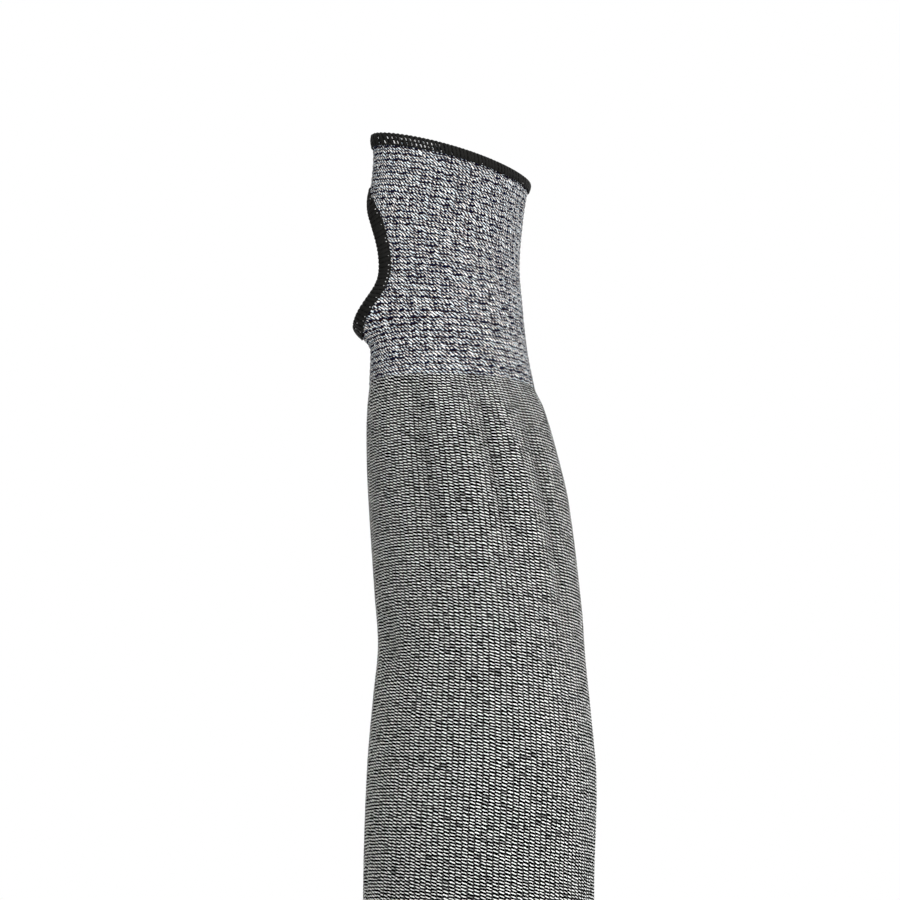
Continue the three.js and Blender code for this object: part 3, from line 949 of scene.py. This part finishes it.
def line_on_edge(edge, share, depth, out, aside, half_width, flatness, closed):
    """A thread that runs along an edge. aside is the small step inwards that gives its width's direction."""
    path = edge(share, depth, out)
    across = unit(edge(share, depth + aside, out) - path)
    width = half_width + 0 * share
    return strands(path, across, width, flatness * width, LINE_SIDES, closed)


def needle_line(edge, places, count, lift):
    """One short stitch for each wrap, where the wraps start."""
    along = np.linspace(*NEEDLE_STITCH)[None, :]
    share = places(np.arange(count)[:, None] + along)
    depth = BINDING_WIDTH - NEEDLE_INSIDE + 0 * share
    out = lift + NEEDLE_HEIGHT[0] + NEEDLE_HEIGHT[1] * np.sin(math.pi * along) + 0 * share
    return line_on_edge(edge, share, depth, out, ASIDE, NEEDLE_RADIUS, NEEDLE_FLATNESS, False)


def looper_line(edge, places, count, lift):
    """The thread that weaves along the middle of the wraps."""
    step = np.arange(count * LOOPER_POINTS)[None, :] / LOOPER_POINTS
    share = places(step)
    depth = LOOPER_REACH + LOOPER_SWING * np.sin(math.pi * step)
    out = lift + LOOPER_HEIGHT + 0 * share
    return line_on_edge(edge, share, depth, out, ASIDE, NEEDLE_RADIUS, LOOPER_FLATNESS, True)


def edge_chain(edge, places, count):
    """The chain that loops along the edge, one loop for each wrap."""
    step = np.arange(count * CHAIN_POINTS)[None, :] / CHAIN_POINTS
    share = places(step)
    swing = 2 * math.pi * step
    depth = -BINDING_ROLL + CHAIN_INSIDE - CHAIN_SWINGS[0] * np.cos(swing)
    out = CHAIN_SWINGS[1] * np.sin(swing)
    return line_on_edge(edge, share, depth, out, -ASIDE, CHAIN_RADIUS, 1, True)


def light_bits(edge, places, count, lift, openness, specks, draw):
    """Bits of the knit's light yarn in the gaps between the wraps, over and under the looper thread."""
    bits = []
    gap = places(np.arange(count) + 0.5)
    along = np.linspace(0, 1, len(LIGHT_BIT_SHAPE))[None, :]
    for bit in LIGHT_BITS:
        seen = draw.random(count) < openness(gap) * bit["opened"] + bit["speck"] * specks
        start = draw.uniform(0, LIGHT_BIT_START, (count, 1))
        fall = start * 0.5 + (1 - start) * along
        depth = (bit["high"] + (bit["low"] - bit["high"]) * fall)[seen]
        leaned = np.interp(depth, [LIGHT_BIT_LEAN_FROM, BINDING_WIDTH], [-WRAP_LEANS[1], 0])
        leaned = leaned + draw.uniform(-LIGHT_BIT_SWAY, LIGHT_BIT_SWAY, (len(depth), 1))
        share = places((np.arange(count)[seen] + 0.5)[:, None] + leaned)
        path, across = on_edge(edge, share, depth, lift + LIGHT_BIT_HEIGHT)
        width = draw.uniform(*LIGHT_BIT_HALF_WIDTH, (len(path), 1)) * np.array(LIGHT_BIT_SHAPE)
        if len(path):
            bits.append(strands(path, across, width, LIGHT_BIT_HALF_THICKNESS + 0 * share, LINE_SIDES))
    return bits


def overlock(name, node, edge, wall, material, openness, specks, seed):
    """Black thread over a cut edge: leaning wraps, a needle line on the knit and a looped chain on the edge.
    openness is 1 where the knit shows between the wraps, and 0 where they lie close. specks is the share of
    gaps that show a speck of the knit's light yarn. Those bits of yarn come back as strands."""
    draw = np.random.default_rng(seed)
    count = int(round(edge_length(edge) / WRAP_PITCH))
    places = even_places(edge, count)
    lift = wall / 2 + BAND_OUTSIDE + WRAP_HALF_THICKNESS * WRAP_SUNK

    def reach(share):
        return BINDING_WIDTH * (BAND_REACH - BAND_REACH_LOST * np.clip(2 * openness(share), 0, 1))

    parts = [
        band(edge, wall, reach, count * 2),
        wraps(edge, places, count, lift, openness, draw),
        needle_line(edge, places, count, lift),
        looper_line(edge, places, count, lift),
        edge_chain(edge, places, count),
    ]
    points, faces, uvs = joined(parts)
    make_object(name, points, faces, "overlock_thread", node, material, uvs)
    return light_bits(edge, places, count, lift, openness, specks, draw)


def close(share):
    return 0 * share


def opened_in_front(share):
    return bump(turn(HAND_SLITS_ANGLE, SEAM_ANGLE + 360 * share) / HAND_SLITS_SPREAD)


OVERLOCKS = [
    dict(
        name="hand_overlock", node="hand_binding", edge=hand_edge, wall=CUFF_WALL,
        openness=opened_in_front, specks=0.12, seed=1,
    ),
    dict(
        name="thumb_overlock", node="thumb_binding", edge=thumb_edge, wall=CUFF_WALL,
        openness=close, specks=0.4, seed=2,
    ),
    dict(
        name="arm_overlock", node="arm_binding", edge=arm_edge, wall=ARM_WALL,
        openness=close, specks=0.1, seed=3,
    ),
]


def make_sleeve():
    plain, waffle, thread = plain_knit_material(), waffle_knit_material(), thread_material()
    part = ARM_COURSES // len(ARM_PIECES)
    for i, name in enumerate(ARM_PIECES):
        piece, grid = knit_wall(name, i * part, (i + 1) * part, plain, **ARM_KNIT)
        # painted shade in the folds' grooves and painted light on their ridges
        paint_fold_shading(piece, grid)
    hand_part, _ = knit_wall("cuff_knit", 0, CUFF_COURSES, waffle, **CUFF_KNIT)
    cut_thumb_hole(hand_part)
    hand_yarn, thumb_yarn, arm_yarn = [overlock(material=thread, **edge) for edge in OVERLOCKS]
    light_yarn = yarn_material()
    for name, yarn, slot, node in (
        ("cuff_edge_yarn", hand_yarn + thumb_yarn, "waffle_knit", "cuff"),
        ("arm_edge_yarn", arm_yarn, "plain_knit", "arm_tube"),
    ):
        points, faces, uvs = joined(yarn)
        make_object(name, points, faces, slot, node, light_yarn, uvs)


def make_lamp():
    light = bpy.data.lights.new("key", "AREA")
    light.shape = "RECTANGLE"
    light.size = light.size_y = KEY_SIDE
    light.energy = KEY_POWER
    lamp = bpy.data.objects.new("key", light)
    lamp.location = KEY_PLACE
    lamp.rotation_mode = "QUATERNION"
    lamp.rotation_quaternion = (Vector(KEY_AIM) - Vector(KEY_PLACE)).to_track_quat("-Z", "Y")
    bpy.context.scene.collection.objects.link(lamp)


def make_studio():
    low = CAD_BOX[0][2]
    bpy.ops.mesh.primitive_plane_add(size=FLOOR_SIDE, location=(0, 0, low - FLOOR_DROP))
    floor = bpy.context.object
    floor.name = "floor"
    material, nodes, shader = new_material("pale_floor", roughness=0.6, specular=0.3)
    tone = nodes.noise(nodes.place(), FLOOR_PATCHES, 3.0)
    nodes.feed(shader.inputs["Base Color"], nodes.blend(tone, *map(grey, FLOOR_TONES)))
    floor.data.materials.append(material)

    # the backdrop is pure white to the camera, and as a light it is weaker from the thumb's side
    world = bpy.data.worlds.new("studio")
    bpy.context.scene.world = world
    world.use_nodes = True
    nodes = Nodes(world.node_tree)
    background = world.node_tree.nodes["Background"]
    nodes.feed(background.inputs["Color"], (1, 1, 1, 1))
    seen = nodes.add("ShaderNodeLightPath").outputs["Is Camera Ray"]
    direction = nodes.split(nodes.add("ShaderNodeTexCoord").outputs["Generated"])
    lit = nodes.step(direction[0], DARK_UP_TO, LIT_FROM, 0.0, AMBIENT)
    unseen = nodes.times(lit, nodes.minus(1.0, seen))
    nodes.feed(background.inputs["Strength"], nodes.math("MAXIMUM", unseen, seen))
    make_lamp()
    bpy.context.scene.view_settings.view_transform = "Standard"


def make_camera():
    below = math.radians(CAMERA_BELOW)
    target = Vector(CAMERA_TARGET)
    away = Vector((0, -math.cos(below), -math.sin(below)))
    data = bpy.data.cameras.new("camera")
    data.sensor_width = SENSOR_MM
    data.lens = SENSOR_MM * CAMERA_DISTANCE / (IMAGE_SIDE * PIXEL_MM * MM)
    data.clip_start = CAMERA_NEAREST
    camera = bpy.data.objects.new("camera", data)
    camera.location = target + away * CAMERA_DISTANCE
    camera.rotation_mode = "QUATERNION"
    camera.rotation_quaternion = (-away).to_track_quat("-Z", "Y")
    bpy.context.scene.collection.objects.link(camera)
    bpy.context.scene.camera = camera


make_camera()
make_sleeve()
make_studio()
